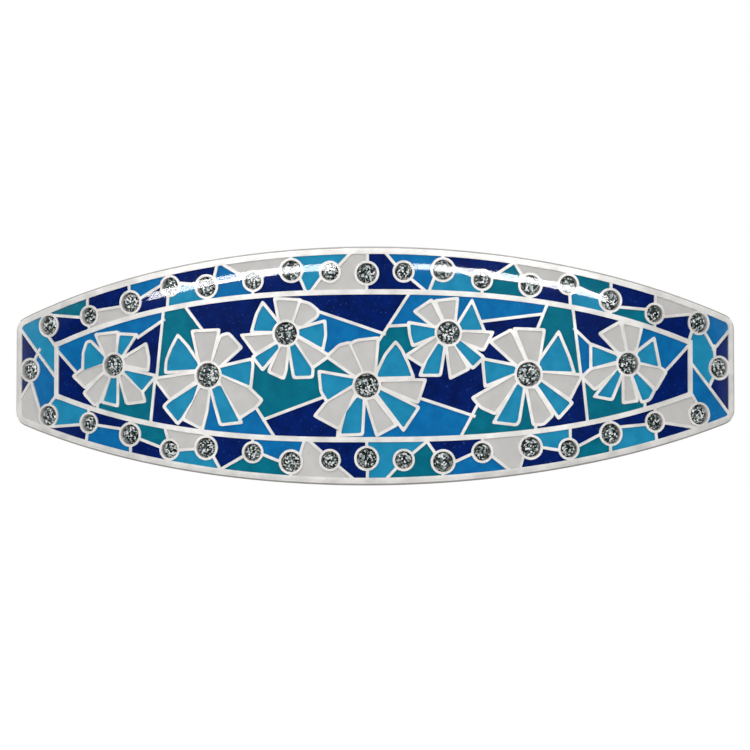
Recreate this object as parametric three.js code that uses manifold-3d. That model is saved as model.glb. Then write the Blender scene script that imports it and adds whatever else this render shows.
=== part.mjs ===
// A barrette: an enamelled, stone-set metal plate bent to the head, with a French clip behind it.
// Millimetres. +X is to the right seen from the front, +Y points into the head, +Z is up.
// The origin is the middle of the lock of hair, half way between the tension leaf and the clasp arm.
import * as THREE from "three";
import { mergeVertices } from "three/addons/utils/BufferGeometryUtils.js";
import Module from "manifold-3d";

const wasm = await Module();
wasm.setup();

// Driving dimensions of the plate. Lengths along the plate are arc lengths on its outer face.
const FACE_R = 97; // bend radius of the coat's outer face
const HALF_LENGTH = 52.5;
const HALF_HEIGHT = 16; // at the middle
const END_HALF_HEIGHT = 7; // of the straight ends
const CORNER = 1.6;
const COAT_T = 0.55;
const WALL_H = 0.9; // rim, frame and cup walls above the floor
const FLOOR_T = 0.7;
const ENAMEL_T = 0.72;
const RIM_W = 1;
const COAT_INSET = 0.45; // from the plate's edge to the coat's
const COAT_ROLL = 0.4; // how far the coat drops at its edge
const COAT_ROLL_W = 4; // over this width
const FRAME_W = 0.7; // the raised line round the flower field
const FRAME_BAND = 6.1; // plate's edge to the frame line, at the middle
const FRAME_END_BAND = 3.5; // the same at the frame's corners
const FRAME_END_INSET = 7.1; // plate's end to the frame's end line
const FRAME_POWER = 2.5; // how much flatter the frame line is in its middle

// Driving dimensions of the stones
const LARGE_STONE = 1.32; // radii
const SMALL_STONE = 1.13;
const STONE_H = 0.75;
const STONE_TABLE = 0.62; // table to girdle
const GIRDLE_H = 0.25;
const CUP_WALL = 0.32;
const STONE_FACETS = 8;
const END_STONE_INSET = 2.5;

// Driving dimensions of the French clip
const CLIP_LENGTH = 80;
const CLIP_W = 9;
const STRIP_T = 0.8;
const CLIP_DEPTH = 8; // base to arm
const ARM_W = 8.6;
const LEAF_W = 6;
const LEAF_T = 0.4;
const LEAF_TRAVEL = 2.2; // leaf to base in the middle, which hair closes up
const LEAF_REACH = 6.5; // base's end to the leaf's end, along the base
const PIN_R = 0.6;
const PIN_STAND = 3.1; // pin above the arm's outer face
const KNUCKLE_R = 1.25;
const EAR_R = 1.4;
const EAR_T = 0.8;
const HINGE_INSET = 2.2; // clip's end to the pin, along the base
const CATCH_INSET = 3; // clip's end to the middle of the catch
const CATCH_W = 3.2;
const LEG_T = 0.5;
const LEG_OUT = 3.1; // outer face of a leg from the middle plane
const BARB = 0.55;
const LEG_TIP = 1.6; // leg's tip past the arm
const WINDOW_PLAY = 0.15; // window's side to a leg
const WINDOW_HALF = 2.6; // along the arm, so the arm swings clear of the legs
const ARM_OVERHANG = 4.6; // catch to the arm's rounded tip
const RIVET_R = 0.5;
const RIVET_HEAD_R = 1.1;

// Clearances
const FINE_GAP = 0.05; // between formed or cast faces
const FIX_GAP = 0.1; // solder line behind the plate
const RUN_GAP = 0.3; // beside what turns

// Radii of the layers, from the face inwards to the head
const WALL_R = FACE_R - COAT_T - FINE_GAP;
const FLOOR_R = WALL_R - WALL_H;
const BACK_R = FLOOR_R - FLOOR_T;
const BASE_OUT_R = BACK_R - FIX_GAP;
const BASE_IN_R = BASE_OUT_R - STRIP_T;
const ARM_OUT_R = BASE_IN_R - CLIP_DEPTH;
const ARM_IN_R = ARM_OUT_R - STRIP_T;
const LEAF_OUT_R = BASE_IN_R - LEAF_TRAVEL;
const LEAF_IN_R = LEAF_OUT_R - LEAF_T;
const AXIS_Y = (LEAF_IN_R + ARM_OUT_R) / 2;
const HINGE_ANGLE = -(CLIP_LENGTH / 2 - HINGE_INSET) / BASE_OUT_R;
const CATCH_ANGLE = (CLIP_LENGTH / 2 - CATCH_INSET) / BASE_OUT_R;
const PIN_AT_R = ARM_OUT_R + PIN_STAND;

// The bend is made of flat facets of this angle, with one facet across the middle.
const FACET = 8.1 / FACE_R;
const STATIONS = [];
for (let k = -8; k < 8; k++) {
  STATIONS.push((k + 0.5) * FACET);
}

const metal = (color, roughness) =>
  new THREE.MeshStandardMaterial({ color, roughness, metalness: 1 });
const silver = metal(0xd8d8d6, 0.3);
const nickel = metal(0xb9b9b6, 0.35);
const springSteel = metal(0xa4a6a8, 0.3);
const blueEnamel = new THREE.MeshStandardMaterial({ color: 0x0f62a0, roughness: 0.25 });
const navyEnamel = new THREE.MeshStandardMaterial({ color: 0x001c5c, roughness: 0.25 });
const stoneGlass = new THREE.MeshStandardMaterial({ color: 0x33403c, roughness: 0.15 });
const clearResin = new THREE.MeshStandardMaterial({
  color: 0xf4f8fa,
  roughness: 0.05,
  transparent: true,
  opacity: 0.3,
});

// ---- solids ----

function toSolid(geometry) {
  const bare = geometry.clone();
  bare.deleteAttribute("normal");
  bare.deleteAttribute("uv");
  const merged = mergeVertices(bare, 1e-5);
  return new wasm.Manifold(
    new wasm.Mesh({
      numProp: 3,
      vertProperties: Float32Array.from(merged.attributes.position.array),
      triVerts: Uint32Array.from(merged.index.array),
    }),
  );
}

function toGeometry(solid) {
  const mesh = solid.getMesh();
  const geometry = new THREE.BufferGeometry();
  geometry.setAttribute("position", new THREE.BufferAttribute(mesh.vertProperties, 3));
  geometry.setIndex(new THREE.BufferAttribute(mesh.triVerts, 1));
  return geometry;
}

const join = (solids) => solids.reduce((all, next) => all.add(next));
const cut = (solid, tools) => tools.reduce((left, tool) => left.subtract(tool), solid);

// A flat sheet: the outline lies in (length, height) and the layer runs between two radii.
function sheet(shape, fromR, toR) {
  const geometry = new THREE.ExtrudeGeometry(shape, {
    depth: toR - fromR,
    bevelEnabled: false,
    curveSegments: 2,
  });
  return toSolid(geometry.translate(0, 0, fromR));
}

function splitAt(polygon, x) {
  const left = [];
  const right = [];
  polygon.forEach((from, i) => {
    const to = polygon[(i + 1) % polygon.length];
    if (from.x <= x) left.push(from);
    if (from.x >= x) right.push(from);
    if ((from.x - x) * (to.x - x) < 0) {
      const [low, high] = from.x < to.x ? [from, to] : [to, from];
      const point = low.clone().lerp(high, (x - low.x) / (high.x - low.x));
      point.x = x;
      left.push(point);
      right.push(point);
    }
  });
  return [left, right];
}

// How far a facet's middle lies inside the true curve
const FACET_SAG = FACE_R * (1 - Math.cos(FACET / 2));

// Where a point of a flat sheet lies once its facet is bent to its place
function bend(s, height, radius, refR) {
  const k = Math.floor(s / refR / FACET + 0.5);
  const share = s / refR / FACET + 0.5 - k;
  const corner = (angle) =>
    new THREE.Vector3(radius * Math.sin(angle), AXIS_Y - radius * Math.cos(angle), height);
  return corner((k - 0.5) * FACET).lerp(corner((k + 0.5) * FACET), share);
}

// Bends a flat sheet into facets round the head; lengths are true at refR.
function roll(solid, refR) {
  const flat = toGeometry(solid).toNonIndexed().attributes.position;
  const points = [];
  const fan = (polygon) => {
    for (let k = 1; k < polygon.length - 1; k++) {
      points.push(polygon[0], polygon[k], polygon[k + 1]);
    }
  };
  for (let i = 0; i < flat.count; i += 3) {
    let rest = [0, 1, 2].map((j) => new THREE.Vector3().fromBufferAttribute(flat, i + j));
    for (const angle of STATIONS) {
      const x = angle * refR;
      if (rest.some((p) => p.x < x) && rest.some((p) => p.x > x)) {
        const [left, right] = splitAt(rest, x);
        fan(left);
        rest = right;
      }
    }
    fan(rest);
  }
  const rolled = points.map((point) => bend(point.x, point.y, point.z, refR));
  return mergeVertices(new THREE.BufferGeometry().setFromPoints(rolled));
}

// Turns a piece drawn at the middle of the clip, with y = -radius, to its angle on the bend.
function atAngle(geometry, angle) {
  return geometry.rotateZ(angle).translate(0, AXIS_Y, 0);
}

function boxAt(sizeX, sizeY, sizeZ, x, y, z) {
  return new THREE.BoxGeometry(sizeX, sizeY, sizeZ).translate(x, y, z);
}

// A profile in (x, y) pulled along z from one height to another.
function bar(shape, fromZ, toZ, segments = 4) {
  return new THREE.ExtrudeGeometry(shape, {
    depth: toZ - fromZ,
    bevelEnabled: false,
    curveSegments: segments,
  }).translate(0, 0, fromZ);
}

// ---- outlines in (length, height) ----

function mirrorQuarter(quarter) {
  const back = [...quarter].reverse();
  return [
    ...quarter,
    ...back.slice(1).map((p) => new THREE.Vector2(-p.x, p.y)),
    ...quarter.map((p) => new THREE.Vector2(-p.x, -p.y)),
    ...back.slice(1).map((p) => new THREE.Vector2(p.x, -p.y)),
  ];
}

const EDGE_DROP = HALF_HEIGHT - END_HALF_HEIGHT;
const EDGE_R = (HALF_LENGTH ** 2 + EDGE_DROP ** 2) / (2 * EDGE_DROP);

// Half height of the plate's outline, drawn in by an inset
function edgeHeight(s, inset = 0) {
  return HALF_HEIGHT - EDGE_R + Math.sqrt((EDGE_R - inset) ** 2 - s * s);
}

function plateOutline(inset) {
  const end = HALF_LENGTH - inset;
  const corner = Math.max(CORNER - inset, 0.3);
  const round = new THREE.QuadraticBezierCurve(
    new THREE.Vector2(end, edgeHeight(end, inset) - corner),
    new THREE.Vector2(end, edgeHeight(end, inset)),
    new THREE.Vector2(end - corner, edgeHeight(end - corner, inset)),
  );
  const quarter = round.getPoints(3);
  const steps = 9;
  for (let k = 1; k <= steps; k++) {
    const s = (end - corner) * (1 - k / steps);
    quarter.push(new THREE.Vector2(s, edgeHeight(s, inset)));
  }
  return mirrorQuarter(quarter);
}

const FRAME_END = HALF_LENGTH - FRAME_END_INSET;
const FRAME_HALF = HALF_HEIGHT - FRAME_BAND;
const FRAME_END_HALF = END_HALF_HEIGHT - FRAME_END_BAND;

function frameHeight(s) {
  return FRAME_HALF - (FRAME_HALF - FRAME_END_HALF) * (s / FRAME_END) ** FRAME_POWER;
}

function frameOutline(outset) {
  const quarter = [];
  const steps = 9;
  for (let k = 0; k <= steps; k++) {
    const s = (FRAME_END + outset) * (1 - k / steps);
    quarter.push(new THREE.Vector2(s, frameHeight(Math.min(s, FRAME_END)) + outset));
  }
  return mirrorQuarter(quarter);
}

function withHole(outer, inner) {
  const shape = new THREE.Shape(outer);
  shape.holes.push(new THREE.Path(inner));
  return shape;
}

function polygon(x, y, radius, sides) {
  const points = [];
  for (let k = 0; k < sides; k++) {
    const angle = ((k + 0.5) * 2 * Math.PI) / sides;
    points.push(new THREE.Vector2(x + radius * Math.cos(angle), y + radius * Math.sin(angle)));
  }
  return points;
}

// ---- stones ----

// Border stones by column: share of the half length, inset from the plate's edge, radius.
// Both rows and both ends of the plate repeat them.
const COLUMNS = [
  [0, 3.6, LARGE_STONE],
  [0.095, 3.3, SMALL_STONE],
  [0.196, 2.8, LARGE_STONE],
  [0.297, 3.7, SMALL_STONE],
  [0.423, 3.55, LARGE_STONE],
  [0.524, 2.5, SMALL_STONE],
  [0.638, 3.4, LARGE_STONE],
  [0.762, 3.5, SMALL_STONE],
  [0.891, 2.65, LARGE_STONE],
];

// Flower centres, left to right: share of the half length, share of the field's half height, radius
const FLOWERS = [
  [-0.687, 0.05, 1.42],
  [-0.418, -0.111, 1.6],
  [-0.21, 0.444, 1.5],
  [0, -0.268, 1.58],
  [0.21, 0.444, 1.5],
  [0.418, -0.111, 1.6],
  [0.687, 0.05, 1.42],
];

const stones = [];
const leftToRight = [
  ...COLUMNS.slice(1).reverse().map(([share, inset, radius]) => [-share, inset, radius]),
  ...COLUMNS,
];
for (const [row, side] of [["top", 1], ["bottom", -1]]) {
  leftToRight.forEach(([share, inset, radius], i) => {
    const s = share * HALF_LENGTH;
    const number = String(i + 1).padStart(2, "0");
    stones.push({ name: `crystal_${row}_${number}`, s, z: side * (edgeHeight(s) - inset), radius });
  });
}
for (const [end, side] of [["left", -1], ["right", 1]]) {
  const s = side * (HALF_LENGTH - END_STONE_INSET);
  stones.push({ name: `crystal_end_${end}`, s, z: 0.15, radius: LARGE_STONE });
}
FLOWERS.forEach(([share, height, radius], i) => {
  const name = `flower_crystal_${i + 1}`;
  stones.push({ name, s: share * HALF_LENGTH, z: height * FRAME_HALF, radius });
});

// A layer of a stone's own outline, grown all round
function stoneSheet(stone, grow, fromR, toR) {
  const outline = polygon(stone.s, stone.z, stone.radius + grow, STONE_FACETS);
  return sheet(new THREE.Shape(outline), fromR, toR);
}

// A flat-backed stone: girdle, crown and table, turned about y
function makeStone(radius) {
  const profile = [
    new THREE.Vector2(0, 0),
    new THREE.Vector2(radius, 0),
    new THREE.Vector2(radius, -GIRDLE_H),
    new THREE.Vector2(radius * STONE_TABLE, -STONE_H),
    new THREE.Vector2(0, -STONE_H),
  ].reverse();
  return new THREE.LatheGeometry(profile, STONE_FACETS, Math.PI / STONE_FACETS);
}

// ---- plate, enamel and coat ----

const CUP_GROW = FINE_GAP + CUP_WALL;
const frameSide = FRAME_W / 2;

// The two areas that hold enamel, drawn in from their walls
const borderArea = (inset) =>
  withHole(plateOutline(RIM_W + inset), frameOutline(frameSide + inset));
const fieldArea = (inset) => new THREE.Shape(frameOutline(-frameSide - inset));

// One enamel area without its stone cups
function cell(shape, grow, fromR, toR) {
  const cups = stones.map((stone) => stoneSheet(stone, grow, fromR - 1, toR + 1));
  return cut(sheet(shape, fromR, toR), cups);
}

function makePlate() {
  const openR = WALL_R + COAT_T;
  const wells = stones.map((stone) => stoneSheet(stone, FINE_GAP, FLOOR_R, openR));
  const body = cut(sheet(new THREE.Shape(plateOutline(0)), BACK_R, WALL_R), [
    cell(borderArea(0), CUP_GROW, FLOOR_R, openR),
    cell(fieldArea(0), CUP_GROW, FLOOR_R, openR),
    ...wells,
  ]);
  return roll(body, FACE_R);
}

function makeEnamel(shape) {
  const topR = FLOOR_R + ENAMEL_T;
  return roll(cell(shape, CUP_GROW + FINE_GAP, FLOOR_R + FINE_GAP, topR), FACE_R);
}

// The clear coat: a thin dome that rolls down to its edges
function makeCoat() {
  const end = HALF_LENGTH - COAT_INSET;
  const lengths = [end, end - 0.6, end - 1.6];
  for (const angle of [...STATIONS].reverse()) {
    const s = angle * FACE_R;
    if (s > 0 && s < end - 2) lengths.push(s);
  }
  const stationList = [...lengths.map((s) => -s), ...lengths.reverse()];
  const shares = [-1, -0.95, -0.86, -0.72, 0, 0.72, 0.86, 0.95, 1];
  const drop = (d) => COAT_ROLL * Math.max(0, 1 - d / COAT_ROLL_W) ** 2;
  const underR = WALL_R + FINE_GAP;
  const rings = stationList.map((s) => {
    const half = edgeHeight(s, COAT_INSET);
    const top = shares.map((share) => {
      const inset = Math.min(half - Math.abs(share) * half, end - Math.abs(s));
      return [s, share * half, FACE_R - drop(inset)];
    });
    return [...top, [s, half, underR], [s, -half, underR]];
  });
  const count = rings[0].length;
  const index = [];
  for (let i = 0; i < rings.length - 1; i++) {
    for (let j = 0; j < count; j++) {
      const a = i * count + j;
      const b = i * count + ((j + 1) % count);
      index.push(a, a + count, b, b, a + count, b + count);
    }
  }
  const last = (rings.length - 1) * count;
  for (let j = 1; j < count - 1; j++) {
    index.push(0, j, j + 1);
    index.push(last, last + j + 1, last + j);
  }
  const rolled = rings.flat().map(([s, z, r]) => bend(s, z, r, FACE_R));
  const geometry = new THREE.BufferGeometry().setFromPoints(rolled);
  geometry.setIndex(index);
  return geometry;
}

// ---- French clip ----

const ROUND = 14; // sides of a small round bar or hole
const circle = (x, y, radius) => new THREE.Shape(polygon(x, y, radius, ROUND));

function roundedStrip(from, to, half, fromRound, toRound) {
  const shape = new THREE.Shape();
  shape.moveTo(from + fromRound, -half);
  shape.lineTo(to - toRound, -half);
  shape.absarc(to - toRound, -half + toRound, toRound, -Math.PI / 2, 0);
  shape.absarc(to - toRound, half - toRound, toRound, 0, Math.PI / 2);
  shape.lineTo(from + fromRound, half);
  shape.absarc(from + fromRound, half - fromRound, fromRound, Math.PI / 2, Math.PI);
  shape.absarc(from + fromRound, -half + fromRound, fromRound, Math.PI, 1.5 * Math.PI);
  return shape;
}

const PIN_HOLE_R = PIN_R + FINE_GAP;
const EAR_IN_Z = CLIP_W / 2 - EAR_T;
const LEAF_END_ANGLE = (CLIP_LENGTH / 2 - LEAF_REACH) / BASE_OUT_R;
const KEEPER_ANGLE = LEAF_END_ANGLE - 0.02; // the keepers' straps, just inside the leaf's ends
const STRAP_X = 1.5;
const STRAP_T = 0.4;
const STRAP_UNDER = 1.3; // base to the strap's near face
const POST_T = 0.6;
const POST_ROOT = 0.2; // how deep the straps' posts run into the base

function makeEar(z) {
  const profile = new THREE.Shape();
  profile.moveTo(EAR_R, -BASE_OUT_R + FINE_GAP);
  profile.lineTo(EAR_R, -PIN_AT_R);
  profile.absarc(0, -PIN_AT_R, EAR_R, 0, Math.PI);
  profile.lineTo(-EAR_R, -BASE_OUT_R + FINE_GAP);
  return toSolid(atAngle(bar(profile, z, z + EAR_T), HINGE_ANGLE));
}

// A strap across the base, under which one end of the tension leaf slides
function makeKeeper(angle) {
  const postZ = LEAF_W / 2 + RUN_GAP + POST_T / 2;
  const postY = STRAP_UNDER + STRAP_T + POST_ROOT;
  const midY = -(BASE_IN_R + POST_ROOT - postY / 2);
  const strapY = -(BASE_IN_R - STRAP_UNDER - STRAP_T / 2);
  const wide = LEAF_W + 2 * (RUN_GAP + POST_T);
  return [
    toSolid(atAngle(boxAt(STRAP_X, postY, POST_T, 0, midY, postZ), angle)),
    toSolid(atAngle(boxAt(STRAP_X, postY, POST_T, 0, midY, -postZ), angle)),
    toSolid(atAngle(boxAt(STRAP_X, STRAP_T, wide, 0, strapY, 0), angle)),
  ];
}

function makeClipBase() {
  const half = CLIP_LENGTH / 2;
  const plan = roundedStrip(-half, half, CLIP_W / 2, 0.8, 2.5);
  plan.holes.push(circle(CATCH_ANGLE * BASE_OUT_R, 0, RIVET_R + FIX_GAP));
  const strip = toSolid(roll(sheet(plan, BASE_IN_R, BASE_OUT_R), BASE_OUT_R));
  const pinHole = toSolid(
    atAngle(bar(circle(0, -PIN_AT_R, PIN_HOLE_R), -CLIP_W, CLIP_W), HINGE_ANGLE),
  );
  const base = join([
    strip,
    makeEar(EAR_IN_Z),
    makeEar(-CLIP_W / 2),
    ...makeKeeper(KEEPER_ANGLE),
    ...makeKeeper(-KEEPER_ANGLE),
  ]);
  return toGeometry(base.subtract(pinHole));
}

const PIN_HEAD_R = 0.95;
const PIN_HEAD_T = 0.4;

function makeHingePin() {
  const reach = CLIP_W / 2 + FINE_GAP;
  const profile = [
    new THREE.Vector2(0, -reach - PIN_HEAD_T),
    new THREE.Vector2(PIN_HEAD_R, -reach - PIN_HEAD_T),
    new THREE.Vector2(PIN_HEAD_R, -reach),
    new THREE.Vector2(PIN_R, -reach),
    new THREE.Vector2(PIN_R, reach),
    new THREE.Vector2(PIN_HEAD_R, reach),
    new THREE.Vector2(PIN_HEAD_R, reach + PIN_HEAD_T),
    new THREE.Vector2(0, reach + PIN_HEAD_T),
  ];
  const pin = new THREE.LatheGeometry(profile, ROUND, Math.PI / ROUND).rotateX(Math.PI / 2);
  return atAngle(pin.translate(0, -PIN_AT_R, 0), HINGE_ANGLE);
}

// The clasp arm: a strip with a window for the catch, a web and a knuckle round the pin
function makeClaspArm() {
  const catchAt = CATCH_ANGLE * ARM_OUT_R;
  const from = HINGE_ANGLE * ARM_OUT_R - KNUCKLE_R;
  const plan = roundedStrip(from, catchAt + ARM_OVERHANG, ARM_W / 2, 0.8, 2.5);
  const side = LEG_OUT + WINDOW_PLAY;
  plan.holes.push(
    new THREE.Path([
      new THREE.Vector2(catchAt - WINDOW_HALF, -side),
      new THREE.Vector2(catchAt + WINDOW_HALF, -side),
      new THREE.Vector2(catchAt + WINDOW_HALF, side),
      new THREE.Vector2(catchAt - WINDOW_HALF, side),
    ]),
  );
  const knuckleZ = EAR_IN_Z - RUN_GAP;
  const web = boxAt(
    STRIP_T,
    PIN_STAND + POST_ROOT,
    2 * knuckleZ,
    -KNUCKLE_R + STRIP_T / 2,
    -ARM_OUT_R - PIN_STAND / 2 + POST_ROOT / 2,
    0,
  );
  const knuckle = bar(circle(0, -PIN_AT_R, KNUCKLE_R), -knuckleZ, knuckleZ);
  const bore = bar(circle(0, -PIN_AT_R, PIN_HOLE_R), -CLIP_W, CLIP_W);
  const arm = join([
    toSolid(roll(sheet(plan, ARM_IN_R, ARM_OUT_R), ARM_OUT_R)),
    toSolid(atAngle(web, HINGE_ANGLE)),
    toSolid(atAngle(knuckle, HINGE_ANGLE)),
  ]);
  return toGeometry(arm.subtract(toSolid(atAngle(bore, HINGE_ANGLE))));
}

// The tension leaf: a flatter arc than the base, between its two keepers
function makeTensionLeaf() {
  const endR = BASE_IN_R - RUN_GAP;
  const endX = endR * Math.sin(LEAF_END_ANGLE);
  const sag = LEAF_OUT_R - endR * Math.cos(LEAF_END_ANGLE);
  const leafR = (endX ** 2 + sag ** 2) / (2 * sag);
  const centreY = AXIS_Y - LEAF_OUT_R + leafR;
  const half = Math.asin(endX / leafR);
  const profile = new THREE.Shape();
  profile.absarc(0, centreY, leafR, -Math.PI / 2 - half, -Math.PI / 2 + half, false);
  profile.absarc(0, centreY, leafR - LEAF_T, -Math.PI / 2 + half, -Math.PI / 2 - half, true);
  return bar(profile, -LEAF_W / 2, LEAF_W / 2, 8);
}

const WEB_OUT_R = BASE_IN_R - FACET_SAG - FINE_GAP;
const WEB_IN_R = WEB_OUT_R - LEG_T;
const LEG_ROOT_R = WEB_IN_R - FIX_GAP;
const LEG_TIP_R = ARM_IN_R - LEG_TIP;

function makeCatchBase() {
  const midR = (WEB_OUT_R + WEB_IN_R) / 2;
  const web = toSolid(boxAt(CATCH_W, LEG_T, 2 * LEG_OUT, 0, -midR, 0));
  const hole = new THREE.CylinderGeometry(RIVET_R + FIX_GAP, RIVET_R + FIX_GAP, 2, 10);
  return atAngle(toGeometry(web.subtract(toSolid(hole.translate(0, -midR, 0)))), CATCH_ANGLE);
}

// A catch leg: a spring strip with a barb that snaps over the edge of the arm's window
function makeCatchLeg(side) {
  const barbR = ARM_IN_R - WINDOW_PLAY;
  const inner = LEG_OUT - LEG_T;
  const profile = new THREE.Shape(
    [
      [-LEG_ROOT_R, inner],
      [-LEG_ROOT_R, LEG_OUT],
      [-barbR, LEG_OUT],
      [-barbR, LEG_OUT + BARB],
      [-LEG_TIP_R - FIX_GAP, LEG_OUT],
      [-LEG_TIP_R, LEG_OUT - FIX_GAP],
      [-LEG_TIP_R, inner],
    ].map(([y, z]) => new THREE.Vector2(y, side * z)),
  );
  const leg = bar(profile, -CATCH_W / 2, CATCH_W / 2);
  const standing = new THREE.Matrix4().makeBasis(
    new THREE.Vector3(0, 1, 0),
    new THREE.Vector3(0, 0, 1),
    new THREE.Vector3(1, 0, 0),
  );
  return atAngle(leg.applyMatrix4(standing), CATCH_ANGLE);
}

function makeRivet() {
  const headR = WEB_IN_R - FINE_GAP;
  const dome = 0.45;
  const endR = BASE_OUT_R - FACET_SAG;
  const profile = [
    new THREE.Vector2(0, -endR),
    new THREE.Vector2(RIVET_R, -endR),
    new THREE.Vector2(RIVET_R, -headR),
    new THREE.Vector2(RIVET_HEAD_R, -headR),
    new THREE.Vector2(RIVET_HEAD_R * 0.7, -headR + dome * 0.7),
    new THREE.Vector2(0, -headR + dome),
  ];
  return atAngle(new THREE.LatheGeometry(profile, 10), CATCH_ANGLE);
}

// ---- assembly ----

const barrette = new THREE.Group();

function place(name, geometry, material, parent = barrette) {
  const mesh = new THREE.Mesh(geometry, material);
  mesh.name = name;
  parent.add(mesh);
  return mesh;
}

place("face_plate", makePlate(), silver);
place("border_enamel", makeEnamel(borderArea(FINE_GAP)), blueEnamel);
place("field_enamel", makeEnamel(fieldArea(FINE_GAP)), navyEnamel);
place("clear_coat", makeCoat(), clearResin);

// Each stone's group turns about the bend's axis, so the stone stands square to the plate.
for (const stone of stones) {
  const turn = new THREE.Group();
  turn.position.y = AXIS_Y;
  turn.rotation.z = stone.s / FACE_R;
  barrette.add(turn);
  const mesh = place(stone.name, makeStone(stone.radius), stoneGlass, turn);
  mesh.position.set(0, -FLOOR_R - FINE_GAP, stone.z);
}

place("clip_base", makeClipBase(), nickel);
place("hinge_pin", makeHingePin(), nickel);
place("clasp_arm", makeClaspArm(), nickel);
place("tension_leaf", makeTensionLeaf(), springSteel);
place("catch_base", makeCatchBase(), springSteel);
place("catch_leg_upper", makeCatchLeg(1), springSteel);
place("catch_leg_lower", makeCatchLeg(-1), springSteel);
place("catch_rivet", makeRivet(), nickel);

export default barrette;
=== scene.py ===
# An enamelled barrette: a bent, silver-plated mosaic plate under clear resin, with a steel hair clip behind it.
# The plate is laid out flat in millimetres as (length, height), then bent round the head and brought to metres.
import math

import bpy
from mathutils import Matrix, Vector


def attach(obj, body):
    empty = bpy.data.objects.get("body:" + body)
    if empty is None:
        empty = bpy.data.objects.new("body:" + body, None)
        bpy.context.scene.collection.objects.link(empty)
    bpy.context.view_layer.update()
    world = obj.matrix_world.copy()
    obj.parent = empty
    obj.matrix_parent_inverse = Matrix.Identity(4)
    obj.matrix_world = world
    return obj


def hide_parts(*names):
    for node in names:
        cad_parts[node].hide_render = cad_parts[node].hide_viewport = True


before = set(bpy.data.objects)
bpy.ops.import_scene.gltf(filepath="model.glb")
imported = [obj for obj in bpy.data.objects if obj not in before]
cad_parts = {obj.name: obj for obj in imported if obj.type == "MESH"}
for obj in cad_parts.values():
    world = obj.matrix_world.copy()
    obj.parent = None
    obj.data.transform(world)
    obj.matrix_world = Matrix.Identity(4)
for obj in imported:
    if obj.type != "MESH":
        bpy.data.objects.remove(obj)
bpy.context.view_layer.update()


# ---- Face plate: outline, frame line and stone cups ----
# The plate is a zinc casting, plated in bright silver, with a raised rim, a raised frame line and thin cell walls.
# It is cut from one slab: every enamel cell and stone well is taken out of it, and what is left between is the wall.

MM = 0.001
BEND_R = 97.0  # of the coat's outer face, where lengths are measured
AXIS_Y = 88.6  # the bend's axis, behind the wearer's head
WALL_R = 96.4  # top of the walls
FLOOR_R = 95.5  # floor of the cells
BACK_R = 94.8  # back of the plate
HALF_LENGTH = 52.5
HALF_HEIGHT = 16.0
END_HALF_HEIGHT = 7.0
CORNER = 1.6
RIM_W = 1.0
FRAME_W = 0.7
FRAME_END = 45.4
FRAME_HALF = 9.9
FRAME_END_HALF = 3.5
FRAME_POWER = 2.5
WALL_W = 0.4
CUP_WALL = 0.32
LARGE_STONE = 1.32
SMALL_STONE = 1.13
EDGE_DROP = HALF_HEIGHT - END_HALF_HEIGHT
EDGE_R = (HALF_LENGTH**2 + EDGE_DROP**2) / (2 * EDGE_DROP)


def edge_height(s, inset=0.0):
    """Half height of the plate at a place along it, drawn in by an inset."""
    return HALF_HEIGHT - EDGE_R + math.sqrt((EDGE_R - inset) ** 2 - s * s)


def four_quarters(quarter):
    """A closed outline from its quarter, which runs from the end towards the middle."""
    back = quarter[::-1][1:]
    return (
        quarter
        + [(-s, z) for s, z in back]
        + [(-s, -z) for s, z in quarter]
        + [(s, -z) for s, z in back]
    )


def plate_outline(inset, steps=40):
    """The plate's outline: two wide arcs, straight ends and rounded corners."""
    end = HALF_LENGTH - inset
    corner = max(CORNER - inset, 0.5)
    quarter = []
    for k in range(7):
        t = k / 6
        start = Vector((end, edge_height(end, inset) - corner))
        tip = Vector((end, edge_height(end, inset)))
        finish = Vector((end - corner, edge_height(end - corner, inset)))
        quarter.append(tuple(start * (1 - t) ** 2 + tip * 2 * t * (1 - t) + finish * t * t))
    for k in range(1, steps + 1):
        s = (end - corner) * (1 - k / steps)
        quarter.append((s, edge_height(s, inset)))
    return four_quarters(quarter)


def frame_height(s):
    """Half height of the frame line at a place along it."""
    rise = (min(abs(s), FRAME_END) / FRAME_END) ** FRAME_POWER
    return FRAME_HALF - (FRAME_HALF - FRAME_END_HALF) * rise


def frame_outline(outset, steps=40):
    """The raised line round the flower field, which runs straight across its ends."""
    quarter = []
    for k in range(steps + 1):
        s = (FRAME_END + outset) * (1 - k / steps)
        quarter.append((s, frame_height(s) + outset))
    return four_quarters(quarter)


# Stones by column: share of the half length, inset from the plate's edge, radius
COLUMNS = [
    (0, 3.6, LARGE_STONE),
    (0.095, 3.3, SMALL_STONE),
    (0.196, 2.8, LARGE_STONE),
    (0.297, 3.7, SMALL_STONE),
    (0.423, 3.55, LARGE_STONE),
    (0.524, 2.5, SMALL_STONE),
    (0.638, 3.4, LARGE_STONE),
    (0.762, 3.5, SMALL_STONE),
    (0.891, 2.65, LARGE_STONE),
]
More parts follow.
